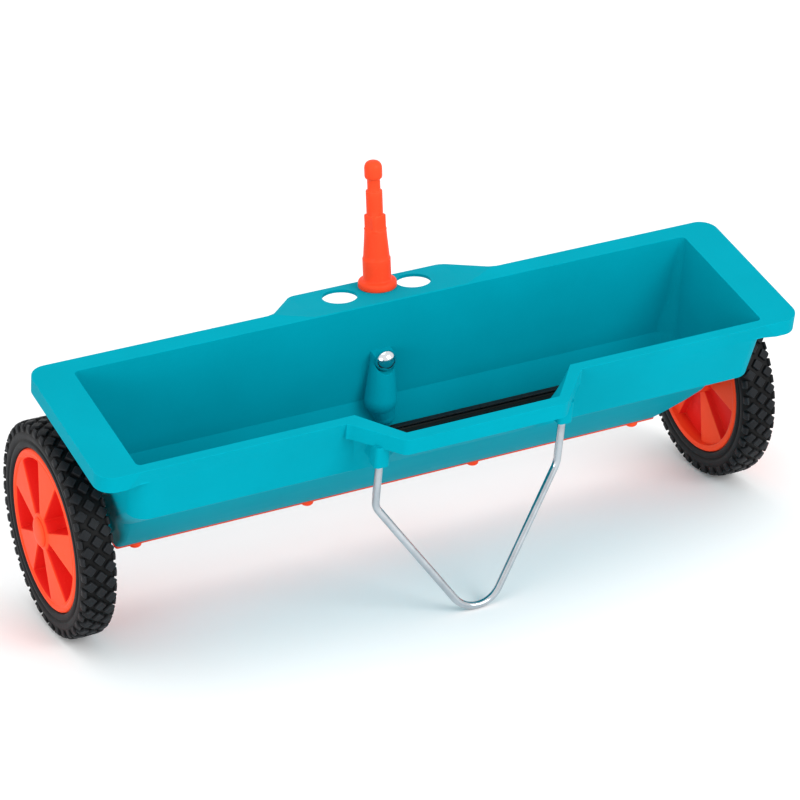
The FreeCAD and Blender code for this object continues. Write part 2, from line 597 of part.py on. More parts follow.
# pin: domed head inside the hopper, shank through boss, wall and lever
HEAD_R, HEAD_H = 9.1, 7.9
ball = (HEAD_R ** 2 + HEAD_H ** 2) / (2 * HEAD_H)
dome = Part.makeSphere(ball, V(PIN_X, 17.4 - HEAD_H + ball, PIN_Z)).common(cyl_y(PIN_X, PIN_Z, HEAD_R + 1, -20, 17.4))
pin = dome.fuse(cyl_y(PIN_X, PIN_Z, PIN_R, 17.0, 39.0)).removeSplitter()
parts["lever_pin"] = pin
parts["lever_washer"] = cyl_y(PIN_X, PIN_Z, 7.5, LEVER_Y1 + .1, LEVER_Y1 + 1.1).cut(cyl_y(PIN_X, PIN_Z, PIN_R + .05, 0, 60))
parts["lever_push_nut"] = (cyl_y(PIN_X, PIN_Z, 5.6, LEVER_Y1 + 1.2, LEVER_Y1 + 2.6)
                           .fuse(cyl_y(PIN_X, PIN_Z, 4.2, LEVER_Y1 + 2.6, LEVER_Y1 + 3.4)).removeSplitter()
                           .cut(cyl_y(PIN_X, PIN_Z, PIN_R + .02, 0, 60)))

# ---------------------------------------------------------------------------
# pitch nose down about the axle until the wire foot is level with the tyres,
# then bring the middle of the footprint over the origin
# ---------------------------------------------------------------------------
fy, fz = FOOT.y, FOOT.z - AXLE_Z
amp = math.hypot(fy, fz)
phase = math.atan2(-fy, -fz)
PITCH = phase - math.acos((WHEEL_R - WIRE_R) / amp)
rot = Placement(V(0, 0, AXLE_Z), Rotation(V(1, 0, 0), math.degrees(PITCH))).multiply(Placement(V(0, 0, -AXLE_Z), Rotation()))
placed = {}
bb = None
for name, s in parts.items():
    t = s.copy()
    t.Placement = rot.multiply(t.Placement)
    placed[name] = t
    b = t.optimalBoundingBox(False) if hasattr(t, "optimalBoundingBox") else t.BoundBox
    bb = b if bb is None else bb.united(b) if hasattr(bb, "united") else (bb.add(b) or bb)
SHIFT_Y = -(bb.YMin + bb.YMax) / 2.0
SHIFT_X = -(bb.XMin + bb.XMax) / 2.0
SHIFT_Z = -bb.ZMin
move = Placement(V(SHIFT_X, SHIFT_Y, SHIFT_Z), Rotation())
for name, s in placed.items():
    s.Placement = move.multiply(s.Placement)
    ok = s.isValid()
    s.exportStep("parts/%s.step" % name)
    b = s.BoundBox
    print("%-20s valid=%s solids=%d vol=%.0f  x %.1f..%.1f y %.1f..%.1f z %.1f..%.1f" %
          (name, ok, len(s.Solids), s.Volume, b.XMin, b.XMax, b.YMin, b.YMax, b.ZMin, b.ZMax))
print("pitch deg %.4f shift %.4f %.4f %.4f" % (math.degrees(PITCH), SHIFT_X, SHIFT_Y, SHIFT_Z))
print("foot", FOOT, "base", BASE)
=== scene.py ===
import bpy, bmesh, math, json
from mathutils import Vector, Matrix


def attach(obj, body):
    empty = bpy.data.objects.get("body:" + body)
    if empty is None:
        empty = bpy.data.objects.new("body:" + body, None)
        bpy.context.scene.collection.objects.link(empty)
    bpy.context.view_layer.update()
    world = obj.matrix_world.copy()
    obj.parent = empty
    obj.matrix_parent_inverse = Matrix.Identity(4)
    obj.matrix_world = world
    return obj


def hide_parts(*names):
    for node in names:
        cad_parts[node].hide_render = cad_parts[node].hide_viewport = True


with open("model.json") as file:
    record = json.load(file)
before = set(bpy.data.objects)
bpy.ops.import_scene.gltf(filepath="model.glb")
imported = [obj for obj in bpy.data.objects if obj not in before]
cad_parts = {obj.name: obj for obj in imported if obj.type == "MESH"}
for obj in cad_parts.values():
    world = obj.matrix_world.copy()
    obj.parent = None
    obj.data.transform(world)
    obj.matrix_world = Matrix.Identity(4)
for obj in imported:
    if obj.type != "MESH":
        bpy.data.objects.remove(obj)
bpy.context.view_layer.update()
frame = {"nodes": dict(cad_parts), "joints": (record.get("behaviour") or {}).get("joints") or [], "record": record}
REC = frame["record"]
NODES = frame["nodes"]
JOINTS = {j["name"]: j for j in frame["joints"]}

# ---------------------------------------------------------------------------
# the hopper's own frame: X along, Y to the rear, Z square to the rim, in mm.
# The object stands pitched nose down about the axle; the lever's pin lies
# along the hopper's Y, so its axis gives the pitch.
# ---------------------------------------------------------------------------
_ax = Vector(JOINTS["lever_swing"]["axis"])
PITCH = math.atan2(-_ax.z, -_ax.y)
CT, ST = math.cos(PITCH), math.sin(PITCH)
AX_Y, AX_Z = JOINTS["axle_spin"]["pos_m"][1] * 1000, JOINTS["axle_spin"]["pos_m"][2] * 1000
AXLE_Z = 84.92


def H(x, y, z):
    """hopper frame, mm -> row frame, m"""
    z = z - AXLE_Z
    return Vector((x, y * CT - z * ST + AX_Y, y * ST + z * CT + AX_Z)) / 1000.0


def Hd(x, y, z):
    return Vector((x, y * CT - z * ST, y * ST + z * CT))


def srgb(r, g, b):
    def f(v):
        v /= 255.0
        return v / 12.92 if v <= 0.04045 else ((v + 0.055) / 1.055) ** 2.4
    return (f(r), f(g), f(b), 1.0)


# ---------------------------------------------------------------------------
# materials
# ---------------------------------------------------------------------------
def new_mat(name):
    m = bpy.data.materials.new(name)
    m.use_nodes = True
    nt = m.node_tree
    nt.nodes.clear()
    out = nt.nodes.new("ShaderNodeOutputMaterial")
    bs = nt.nodes.new("ShaderNodeBsdfPrincipled")
    nt.links.new(bs.outputs[0], out.inputs[0])
    return m, nt, bs


def noise(nt, vec, scale, detail=3.0, rough=0.5, stretch=None):
    n = nt.nodes.new("ShaderNodeTexNoise")
    n.inputs["Scale"].default_value = scale
    n.inputs["Detail"].default_value = detail
    n.inputs["Roughness"].default_value = rough
    src = vec
    if stretch:
        mp = nt.nodes.new("ShaderNodeMapping")
        mp.inputs["Scale"].default_value = stretch
        nt.links.new(vec, mp.inputs["Vector"])
        src = mp.outputs["Vector"]
    nt.links.new(src, n.inputs["Vector"])
    return n.outputs["Fac"]


def ramp(nt, fac, stops):
    r = nt.nodes.new("ShaderNodeValToRGB")
    el = r.color_ramp.elements
    while len(el) > len(stops):
        el.remove(el[-1])
    while len(el) < len(stops):
        el.new(0.5)
    for e, (p, c) in zip(el, stops):
        e.position = p
        e.color = c if len(c) == 4 else (c[0], c[0], c[0], 1)
    nt.links.new(fac, r.inputs["Fac"])
    return r.outputs["Color"]


def math_node(nt, op, a, b=None, clamp=False):
    n = nt.nodes.new("ShaderNodeMath")
    n.operation = op
    n.use_clamp = clamp
    for i, v in enumerate((a, b)):
        if v is None:
            continue
        if isinstance(v, (int, float)):
            n.inputs[i].default_value = v
        else:
            nt.links.new(v, n.inputs[i])
    return n.outputs[0]


def mix_rgb(nt, fac, a, b, mode="MIX"):
    n = nt.nodes.new("ShaderNodeMix")
    n.data_type = "RGBA"
    n.blend_type = mode
    for sock, v in ((n.inputs["Factor"], fac), (n.inputs[6], a), (n.inputs[7], b)):
        if isinstance(v, (int, float)):
            sock.default_value = v
        elif isinstance(v, tuple):
            sock.default_value = v
        else:
            nt.links.new(v, sock)
    return n.outputs[2]


def edge_mask(nt, radius):
    """1 on convex or concave edges within radius, from the rounded normal"""
    bv = nt.nodes.new("ShaderNodeBevel")
    bv.samples = 4
    bv.inputs["Radius"].default_value = radius
    ge = nt.nodes.new("ShaderNodeNewGeometry")
    dt = nt.nodes.new("ShaderNodeVectorMath")
    dt.operation = "DOT_PRODUCT"
    nt.links.new(bv.outputs[0], dt.inputs[0])
    nt.links.new(ge.outputs["Normal"], dt.inputs[1])
    inv = math_node(nt, "SUBTRACT", 1.0, dt.outputs["Value"], True)
    return math_node(nt, "MULTIPLY", inv, 3.5, True)


def bump(nt, bs, height, strength, distance):
    b = nt.nodes.new("ShaderNodeBump")
    b.inputs["Strength"].default_value = strength
    b.inputs["Distance"].default_value = distance
    nt.links.new(height, b.inputs["Height"])
    nt.links.new(b.outputs[0], bs.inputs["Normal"])
    return b


def coords(nt):
    return nt.nodes.new("ShaderNodeTexCoord").outputs["Object"]


def moulded(name, light, dark, wear, rough=0.34, spec=0.3, grain=0.00005, attr=None, attr_shade_col=None, worn=0.5, grain_scale=1500.0):
    """injection moulded plastic: slow colour drift, fine eroded grain, faint flow and rub marks, paler rubbed edges"""
    m, nt, bs = new_mat(name)
    v = coords(nt)
    drift = noise(nt, v, 9.0, 4.0, 0.55)
    col = ramp(nt, drift, [(0.32, dark), (0.68, light)])
    # optional attribute-masked colour; the wheel discs use it for painted shade, red in the pockets
    if attr:
        at = nt.nodes.new("ShaderNodeAttribute")
        at.attribute_name = attr
        col = mix_rgb(nt, at.outputs["Fac"], col, attr_shade_col)
    speck = noise(nt, v, 700.0, 2.0, 0.6)
    col = mix_rgb(nt, ramp(nt, speck, [(0.60, (0.0,)), (0.78, (0.10,))]), col, wear)
    em = edge_mask(nt, 0.0014)
    patch = noise(nt, v, 45.0, 5.0, 0.7)
    em = math_node(nt, "MULTIPLY", em, ramp(nt, patch, [(0.38, (0.1,)), (0.62, (1.0,))]))
    em = math_node(nt, "MULTIPLY", em, worn, True)
    col = mix_rgb(nt, em, col, wear)
    nt.links.new(col, bs.inputs["Base Color"])
    rub = noise(nt, v, 60.0, 6.0, 0.75, (0.35, 2.4, 2.4))
    scr = noise(nt, v, 240.0, 3.0, 0.6, (0.12, 3.0, 3.0))
    r = math_node(nt, "MULTIPLY_ADD", rub, 0.16)
    r.node.inputs[2].default_value = rough - 0.08
    r = math_node(nt, "ADD", r, math_node(nt, "MULTIPLY", em, 0.12))
    nt.links.new(r, bs.inputs["Roughness"])
    bs.inputs["Specular IOR Level"].default_value = spec
    g = noise(nt, v, grain_scale, 3.0, 0.6)
    hgt = math_node(nt, "ADD", g, math_node(nt, "MULTIPLY", scr, 0.35))
    bump(nt, bs, hgt, 0.55, grain)
    bs.inputs["Base Color"].default_value = light
    return m


M = {}
M["teal"] = moulded("teal_plastic", srgb(0, 151, 170), srgb(0, 144, 162), srgb(0, 176, 198), rough=0.45, spec=0.008, worn=0.5)
M["orange"] = moulded("orange_plastic", srgb(250, 80, 42), srgb(238, 68, 36), srgb(255, 124, 84), rough=0.38, spec=0.06)
# wheel discs: the pocket attribute paints the recessed pockets red, painted shade with the red tint of light bounced
# between orange walls
M["wheel_orange"] = moulded("wheel_orange_plastic", srgb(248, 78, 42), srgb(238, 68, 36), srgb(255, 120, 80), rough=0.38, spec=0.04,
                            attr="pocket", attr_shade_col=srgb(224, 36, 30))
M["slide_orange"] = moulded("slide_orange_plastic", srgb(224, 74, 44), srgb(206, 66, 40), srgb(245, 120, 84), rough=0.5, spec=0.06)
M["black"] = moulded("black_plastic", srgb(20, 30, 28), srgb(14, 22, 21), srgb(60, 66, 66), rough=0.5, spec=0.14, worn=0.4)


def rubber(name, light, dark, scale=260.0, groove_shade=None):
    m, nt, bs = new_mat(name)
    v = coords(nt)
    drift = noise(nt, v, 26.0, 5.0, 0.6)
    col = ramp(nt, drift, [(0.3, dark), (0.7, light)])
    dust = noise(nt, v, 90.0, 6.0, 0.75)
    col = mix_rgb(nt, ramp(nt, dust, [(0.56, (0.0,)), (0.8, (0.16,))]), col, srgb(70, 70, 69))
    em = math_node(nt, "MULTIPLY", edge_mask(nt, 0.0007), 0.35, True)
    col = mix_rgb(nt, em, col, srgb(92, 95, 98))
    # painted shade: where the raised attribute is low (tread grooves, block sides, sidewall ring groove) the rubber is
    # painted near-black
    if groove_shade:
        at = nt.nodes.new("ShaderNodeAttribute")
        at.attribute_name = "raised"
        col = mix_rgb(nt, ramp(nt, at.outputs["Fac"], [(0.2, (0.0,)), (0.85, (1.0,))]), groove_shade, col)
    nt.links.new(col, bs.inputs["Base Color"])
    r = math_node(nt, "MULTIPLY_ADD", dust, 0.25)
    r.node.inputs[2].default_value = 0.42
    nt.links.new(r, bs.inputs["Roughness"])
    bs.inputs["Specular IOR Level"].default_value = 0.14
    g = noise(nt, v, scale * 6, 4.0, 0.65)
    mottled = noise(nt, v, scale, 3.0, 0.6)
    bump(nt, bs, math_node(nt, "ADD", g, math_node(nt, "MULTIPLY", mottled, 0.8)), 0.6, 0.00012)
    bs.inputs["Base Color"].default_value = light
    return m


# tyre rubber; the near-black srgb(6, 7, 8) is painted shade for the tread grooves and the sidewall ring groove
M["tyre"] = rubber("tyre_rubber", srgb(28, 31, 34), srgb(19, 21, 24), groove_shade=srgb(6, 7, 8))
M["rubber"] = rubber("black_rubber", srgb(34, 36, 38), srgb(26, 27, 29))


def metal(name, col, col2, rough, stretch, brush=0.00002, spots=0.2):
    m, nt, bs = new_mat(name)
    v = coords(nt)
    cl = noise(nt, v, 40.0, 4.0, 0.6)
    base = ramp(nt, cl, [(0.3, col2), (0.7, col)])
    pit = noise(nt, v, 520.0, 4.0, 0.7)
    base = mix_rgb(nt, ramp(nt, pit, [(0.62, (0.0,)), (0.8, (spots,))]), base, srgb(120, 112, 102))
    nt.links.new(base, bs.inputs["Base Color"])
    bs.inputs["Metallic"].default_value = 1.0
    st = noise(nt, v, 700.0, 3.0, 0.6, stretch)
    r = math_node(nt, "MULTIPLY_ADD", st, 0.16)
    r.node.inputs[2].default_value = rough
    nt.links.new(r, bs.inputs["Roughness"])
    bump(nt, bs, st, 0.35, brush)
    bs.inputs["Base Color"].default_value = col
    return m


M["chrome"] = metal("chrome_wire", srgb(196, 201, 206), srgb(168, 174, 180), 0.06, (1, 1, 0.12), 0.000008, 0.25)
M["zinc"] = metal("zinc_steel", srgb(196, 199, 203), srgb(172, 176, 180), 0.22, (0.05, 1.0, 1.0))
M["polished"] = metal("polished_steel", srgb(226, 229, 232), srgb(208, 212, 216), 0.05, (1.0, 0.3, 1.0), 0.000006, 0.1)


def link_piece(name, mesh, mat, body, replaces=(), smooth=True, sharp=None):
    ob = bpy.data.objects.new(name, mesh)
    bpy.context.scene.collection.objects.link(ob)
    if mat:
        mesh.materials.clear()
        mesh.materials.append(M[mat])
    if smooth:
        mesh.polygons.foreach_set("use_smooth", [True] * len(mesh.polygons))
        if sharp:
            mark_sharp(mesh, sharp)
    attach(ob, body)
    if replaces:
        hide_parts(*replaces)
    return ob


def mark_sharp(mesh, angle):
    bm = bmesh.new()
    bm.from_mesh(mesh)
    for e in bm.edges:
        e.smooth = not (len(e.link_faces) == 2 and e.calc_face_angle(0.0) > angle)
    bm.to_mesh(mesh)
    bm.free()


def mesh_of(name, verts, faces):
    me = bpy.data.meshes.new(name)
    me.from_pydata([tuple(v) for v in verts], [], faces)
    bm = bmesh.new()
    bm.from_mesh(me)
    bmesh.ops.remove_doubles(bm, verts=bm.verts, dist=1e-7)
    bmesh.ops.recalc_face_normals(bm, faces=bm.faces)
    bm.to_mesh(me)
    bm.free()
    me.validate()
    return me


def ring_mesh(rings, closed_u=True, close_loop=False, cap0=False, cap1=False):
    """rings: lists of points of equal length; quads between neighbours"""
    n = len(rings[0])
    verts = [p for r in rings for p in r]
    faces = []
    m = len(rings)
    last = m if close_loop else m - 1
    for i in range(last):
        a, b = i * n, ((i + 1) % m) * n
        for k in range(n if closed_u else n - 1):
            k2 = (k + 1) % n
            faces.append((a + k, a + k2, b + k2, b + k))
    if cap0:
        faces.append(tuple(range(n - 1, -1, -1)))
    if cap1:
        faces.append(tuple((m - 1) * n + k for k in range(n)))
    return verts, faces


def spline(pts, per):
    """Catmull-Rom through a closed or open list of 2-D points"""
    out = []
    n = len(pts)
    for i in range(n - 1):
        p0 = pts[max(i - 1, 0)]
        p1, p2 = pts[i], pts[i + 1]
        p3 = pts[min(i + 2, n - 1)]
        for k in range(per):
            t = k / per
            out.append(tuple(0.5 * ((2 * b) + (-a + c) * t + (2 * a - 5 * b + 4 * c - d) * t * t + (-a + 3 * b - 3 * c + d) * t ** 3)
                             for a, b, c, d in zip(p0, p1, p2, p3)))
    out.append(pts[-1])
    return out


def evaluated(ob):
    dg = bpy.context.evaluated_depsgraph_get()
    me = bpy.data.meshes.new_from_object(ob.evaluated_get(dg), depsgraph=dg)
    return me


def wheel_pt(sx, u, r, phi):
    """point of a wheel: u mm outward along the axle, radius r, angle from +Y towards +Z"""
    return Vector((sx * u, AX_Y + r * math.cos(phi), AX_Z + r * math.sin(phi))) / 1000.0


# ---------------------------------------------------------------------------
# camera at the photograph's angle, pale floor, soft light
# ---------------------------------------------------------------------------
az, el, roll = math.radians(-29.21), math.radians(36.35), math.radians(5.19)
back = Vector((math.sin(az) * math.cos(el), -math.cos(az) * math.cos(el), math.sin(el)))
rt = Vector((math.cos(az), math.sin(az), 0))
up = back.cross(rt)
r2 = rt * math.cos(roll) + up * math.sin(roll)
u2 = up * math.cos(roll) - rt * math.sin(roll)
C = Vector((0, 0, 100.0)) + back * 2870.0 + r2 * 1.84 + u2 * 24.7
cam_d = bpy.data.cameras.new("camera")
cam = bpy.data.objects.new("camera", cam_d)
bpy.context.scene.collection.objects.link(cam)
cb, cr, cu = Hd(*back), Hd(*r2), Hd(*u2)
cam.matrix_world = Matrix.Translation(H(*C)) @ Matrix((cr, cu, cb)).transposed().to_4x4()
cam_d.sensor_width = 36.0
cam_d.lens = 3660.0 * 36.0 / 800.0
cam_d.clip_start, cam_d.clip_end = 0.05, 60.0
bpy.context.scene.camera = cam

scene = bpy.context.scene
scene.view_settings.view_transform = "Standard"
world = bpy.data.worlds.new("studio")
scene.world = world
world.use_nodes = True
wn = world.node_tree
wn.nodes["Background"].inputs[0].default_value = (1.0, 1.0, 1.0, 1.0)
wn.nodes["Background"].inputs[1].default_value = 1.0


def area(name, loc, target, size, power, col=(1, 1, 1)):
    d = bpy.data.lights.new(name, "AREA")
    d.shape = "RECTANGLE"
    d.size, d.size_y = size
    d.energy = power
    d.color = col
    o = bpy.data.objects.new(name, d)
    scene.collection.objects.link(o)
    o.location = loc
    o.rotation_euler = (Vector(target) - Vector(loc)).to_track_quat("-Z", "Y").to_euler()
    return o


area("key_softbox", (1.1, -2.5, 1.5), (0, 0, 0.1), (1.6, 1.2), 44)
area("top_softbox", (-0.3, 0.2, 2.6), (0, 0, 0.1), (2.4, 1.6), 10)
area("left_fill", (-2.5, -1.5, 0.7), (0, 0, 0.1), (1.4, 1.0), 20)

fl_me = bpy.data.meshes.new("floor")
bm = bmesh.new()
bmesh.ops.create_grid(bm, x_segments=8, y_segments=8, size=7.0)
bm.to_mesh(fl_me)
bm.free()
floor = bpy.data.objects.new("floor", fl_me)
scene.collection.objects.link(floor)
fm, fnt, fbs = new_mat("floor_pale")
fv = coords(fnt)
fc = ramp(fnt, noise(fnt, fv, 3.0, 4.0), [(0.3, (0.93, 0.93, 0.93, 1)), (0.7, (0.95, 0.95, 0.95, 1))])
fnt.links.new(fc, fbs.inputs["Base Color"])
fbs.inputs["Roughness"].default_value = 0.9
fbs.inputs["Specular IOR Level"].default_value = 0.1
fl_me.materials.append(fm)

# ---------------------------------------------------------------------------
# tyres: revolved carcass with a bead ring, diamond tread blocks and shoulder lugs
# ---------------------------------------------------------------------------
TYRE_MID = 284.6
N_PITCH = 38
STEP = 2 * math.pi / N_PITCH
TILE = STEP * 84.9          # length of one tread pitch round the tyre, mm
TREAD_S = 17.6              # half width of the patterned strip, measured along the section
NB = 10
SIDE = [(0.0, 82.5), (4.0, 82.5), (7.0, 82.45), (9.2, 82.25), (10.8, 81.6), (11.9, 80.2), (12.45, 78.6), (12.95, 77.0),
        (13.4, 75.4), (13.5, 73.6), (13.15, 72.1), (12.6, 71.2), (12.35, 70.3), (12.6, 69.5), (13.2, 69.0), (13.45, 67.9),
        (13.4, 66.6), (12.9, 65.3), (11.9, 64.4), (10.4, 64.05)]


def section_table():
    pts = spline(SIDE, 8)
    out, acc = [], 0.0
    for i, (a, r) in enumerate(pts):
        if i:
            acc += math.hypot(a - pts[i - 1][0], r - pts[i - 1][1])
        p0, p1 = pts[max(i - 1, 0)], pts[min(i + 1, len(pts) - 1)]
        ta, tr = p1[0] - p0[0], p1[1] - p0[1]
        l = math.hypot(ta, tr)
        na, nr = -tr / l, ta / l
        if i == 0:
            na, nr = 0.0, 1.0
        out.append((acc, a, r, na, nr))
    return out


SECTION = section_table()


def section_at(s):
    q = abs(s)
    for i in range(1, len(SECTION)):
        if SECTION[i][0] >= q:
            a, b = SECTION[i - 1], SECTION[i]
            t = (q - a[0]) / max(b[0] - a[0], 1e-9)
            v = [a[k] + (b[k] - a[k]) * t for k in range(1, 5)]
            break
    else:
        v = list(SECTION[-1][1:])
    if s < 0:
        v[0], v[2] = -v[0], -v[2]
    return v


def lug_height(s):
    q = abs(s)
    tab = [(0.0, 2.36), (9.6, 2.36), (11.0, 2.32), (12.8, 2.0), (14.4, 1.35), (16.1, 0.8), (17.6, 0.45), (30.0, 0.3)]
    for (s0, h0), (s1, h1) in zip(tab, tab[1:]):
        if q <= s1:
            return h0 + (h1 - h0) * (q - s0) / (s1 - s0)
    return 0.4


def offset_poly(poly, d):
    """convex counter-clockwise outline moved outwards by d"""
    out = []
    n = len(poly)
    for i in range(n):
        a, b, c = poly[i - 1], poly[i], poly[(i + 1) % n]
        e1 = (b[0] - a[0], b[1] - a[1])
        e2 = (c[0] - b[0], c[1] - b[1])
        l1, l2 = math.hypot(*e1), math.hypot(*e2)
        n1, n2 = (e1[1] / l1, -e1[0] / l1), (e2[1] / l2, -e2[0] / l2)
        k = d / (1.0 + n1[0] * n2[0] + n1[1] * n2[1])
        out.append((b[0] + (n1[0] + n2[0]) * k, b[1] + (n1[1] + n2[1]) * k))
    return out


def clip_c(poly, c0, keep_above):
    """cut a convex outline at the tile's edge c = c0"""
    out = []
    n = len(poly)
    ins = (lambda p: p[1] >= c0 - 1e-9) if keep_above else (lambda p: p[1] <= c0 + 1e-9)
    for i in range(n):
        a, b = poly[i], poly[(i + 1) % n]
        if ins(a):
            out.append(a)
        if ins(a) != ins(b):
            t = (c0 - a[1]) / (b[1] - a[1])
            out.append((a[0] + (b[0] - a[0]) * t, c0))
    clean = []
    for q in out:
        if not clean or math.hypot(q[0] - clean[-1][0], q[1] - clean[-1][1]) > 1e-5:
            clean.append(q)
    if math.hypot(clean[0][0] - clean[-1][0], clean[0][1] - clean[-1][1]) < 1e-5:
        clean.pop()
    return clean


def inward(poly, q):
    """distance of q inside a convex counter-clockwise outline, negative outside"""
    best = 1e9
    for i in range(len(poly)):
        a, b = poly[i], poly[(i + 1) % len(poly)]
        e = (b[0] - a[0], b[1] - a[1])
        l = math.hypot(*e)
        best = min(best, (e[0] * (q[1] - a[1]) - e[1] * (q[0] - a[0])) / l)
    return best


def tread_tile():
    from mathutils.geometry import delaunay_2d_cdt
    mid = TILE / 2

    def diamond(s0, c0):
        return [(s0 + x, c0 + y) for x, y in ((4.3, -0.4), (4.3, 0.4), (0.4, 4.6), (-0.4, 4.6), (-4.3, 0.4), (-4.3, -0.4), (-0.4, -4.6), (0.4, -4.6))]

    def lug(sg):
        o = [(10.7, -2.6), (11.2, -3.2), (15.6, -3.2), (16.1, -2.8), (16.1, 2.8), (15.6, 3.2), (11.2, 3.2), (10.7, 2.6)]
        o = [(sg * x, mid + y) for x, y in o]
        return o if sg > 0 else list(reversed(o))
    blocks = [(diamond(0.0, mid), None), (lug(1), None), (lug(-1), None)]
    for s0 in (-7.9, 7.9):
        blocks.append((diamond(s0, 0.0), True))
        blocks.append((diamond(s0, TILE), False))
    pts, key, edges = [], {}, []

    def put(q):
        k = (round(q[0], 4), round(q[1], 4))
        if k not in key:
            key[k] = len(pts)
            pts.append(Vector(q))
        return key[k]
    rim_pts = set()
    loops = []
    for poly, half in blocks:
        for d in (0.45, 0.0, -0.45):
            o = offset_poly(poly, d)
            if half is not None:
                o = clip_c(o, 0.0 if half else TILE, half)
            loops.append(o)
            n = len(o)
            for i in range(n):
                a, b = o[i], o[(i + 1) % n]
                on_a = abs(a[1]) < 1e-6 or abs(a[1] - TILE) < 1e-6
                on_b = abs(b[1]) < 1e-6 or abs(b[1] - TILE) < 1e-6
                if on_a:
                    rim_pts.add(round(a[0], 5))
                if on_a and on_b:
                    continue
                l = math.hypot(b[0] - a[0], b[1] - a[1])
                m = max(1, int(round(l / 2.0)))
                prev = put(a)
                for k in range(1, m + 1):
                    t = k / m
                    cur = put((a[0] + (b[0] - a[0]) * t, a[1] + (b[1] - a[1]) * t))
                    if cur != prev:
                        edges.append((prev, cur))
                    prev = cur
    side = sorted(rim_pts)
    grid_s = [-TREAD_S + 2 * TREAD_S * k / 22 for k in range(23)]
    for g in grid_s:
        if abs(abs(g) - TREAD_S) < 1e-6 or all(abs(g - q) > 0.5 for q in side):
            side.append(g)
    side = sorted(set(round(q, 5) for q in side))
    for c0 in (0.0, TILE):
        ids = [put((q, c0)) for q in side]
        edges += list(zip(ids, ids[1:]))
    for s0 in (-TREAD_S, TREAD_S):
        ids = [put((s0, TILE * k / NB)) for k in range(NB + 1)]
        edges += list(zip(ids, ids[1:]))

    def near(q):
        for o in loops:
            for i in range(len(o)):
                a, b = o[i], o[(i + 1) % len(o)]
                ex, ey = b[0] - a[0], b[1] - a[1]
                t = max(0.0, min(1.0, ((q[0] - a[0]) * ex + (q[1] - a[1]) * ey) / (ex * ex + ey * ey)))
                if math.hypot(q[0] - a[0] - ex * t, q[1] - a[1] - ey * t) < 0.5:
                    return True
        return False
    for g in grid_s[1:-1]:
        for k in range(1, NB):
            q = (g, TILE * k / NB)
            if not near(q):
                put(q)
    vs, es, fs = delaunay_2d_cdt(pts, edges, [], 0, 1e-6)[:3]
    hs = []
    for q in vs:
        h = 0.0
        for poly, half in blocks:
            d = inward(poly, (q.x, q.y))
            if d >= 0.449:
                v = 1.0
            elif d >= 0:
                v = 0.80 + 0.20 * d / 0.45
            elif d > -0.45:
                v = 0.80 * (1.0 + d / 0.45)
            else:
                v = 0.0
            h = max(h, v)
        hs.append(h)
    return [(q.x, q.y) for q in vs], hs, [tuple(f) for f in fs]


TILE_V, TILE_H, TILE_F = tread_tile()


def make_tyre(sx, node, body):
    verts, faces, unshaded_fac = [], [], []
    for k in range(N_PITCH):
        base = len(verts)
        p0 = -math.pi / 2 - STEP / 2 + k * STEP
        for (s, c), h in zip(TILE_V, TILE_H):
            a, r, na, nr = section_at(s)
            hh = h * lug_height(s)
            # block height factor, stored as the raised attribute: low values paint the grooves and block sides in
            # painted shade
            unshaded_fac.append(h)
            verts.append(wheel_pt(sx, TYRE_MID + a + na * hh, r + nr * hh, p0 + c / TILE * STEP))
        faces += [tuple(base + i for i in f) for f in TILE_F]
    # smooth sidewalls, beads and the seat on the disc, one closed run of rings
    run = [(a, r) for l, a, r, na, nr in SECTION if l > TREAD_S + 0.4]
    run = run[::3] + ([run[-1]] if (len(run) - 1) % 3 else [])
    e = section_at(TREAD_S)
    prof = [(e[0], e[1])] + run + [(6.0, 64.05), (2.0, 64.05), (-2.0, 64.05), (-6.0, 64.05)]
    prof += [(-a, r) for a, r in reversed(run)] + [(-e[0], e[1])]
    n = N_PITCH * NB
    base = len(verts)
    for a, r in prof:
        for k in range(n):
            verts.append(wheel_pt(sx, TYRE_MID + a, r, -math.pi / 2 - STEP / 2 + 2 * math.pi * k / n))
            # 0.1 paints the sidewall ring groove near-black as painted shade; 0.75 darkens the rest of the sidewall
            # slightly, also painted shade
            unshaded_fac.append(0.1 if 69.4 < r < 71.5 else 0.75)
    for i in range(len(prof) - 1):
        for k in range(n):
            k2 = (k + 1) % n
            faces.append((base + i * n + k, base + i * n + k2, base + (i + 1) * n + k2, base + (i + 1) * n + k))
    me = bpy.data.meshes.new(node + "_tread")
    me.from_pydata([tuple(v) for v in verts], [], faces)
    me.attributes.new("raised", "FLOAT", "POINT").data.foreach_set("value", unshaded_fac)
    bm_ = bmesh.new()
    bm_.from_mesh(me)
    bmesh.ops.remove_doubles(bm_, verts=bm_.verts, dist=1e-5)
    bmesh.ops.recalc_face_normals(bm_, faces=bm_.faces)
    print(node, "open edges", sum(1 for e_ in bm_.edges if len(e_.link_faces) != 2), "verts", len(bm_.verts))
    bm_.to_mesh(me)
    bm_.free()
    me.validate()
    return link_piece(node + "_treaded", me, "tyre", body, (node,), sharp=math.radians(34))


# ---------------------------------------------------------------------------
# wheel discs: hub, five raised spokes, five deep pockets, rim, inboard sleeve
# ---------------------------------------------------------------------------
SPOKE0 = 16.0


def smooth01(x):
    x = max(0.0, min(1.0, x))
    return x * x * x * (x * (6 * x - 15) + 10)


LAT = [-1.9, -1.15, -0.8, -0.52, -0.28, 0.0, 0.28, 0.52, 0.8, 1.15, 1.9]


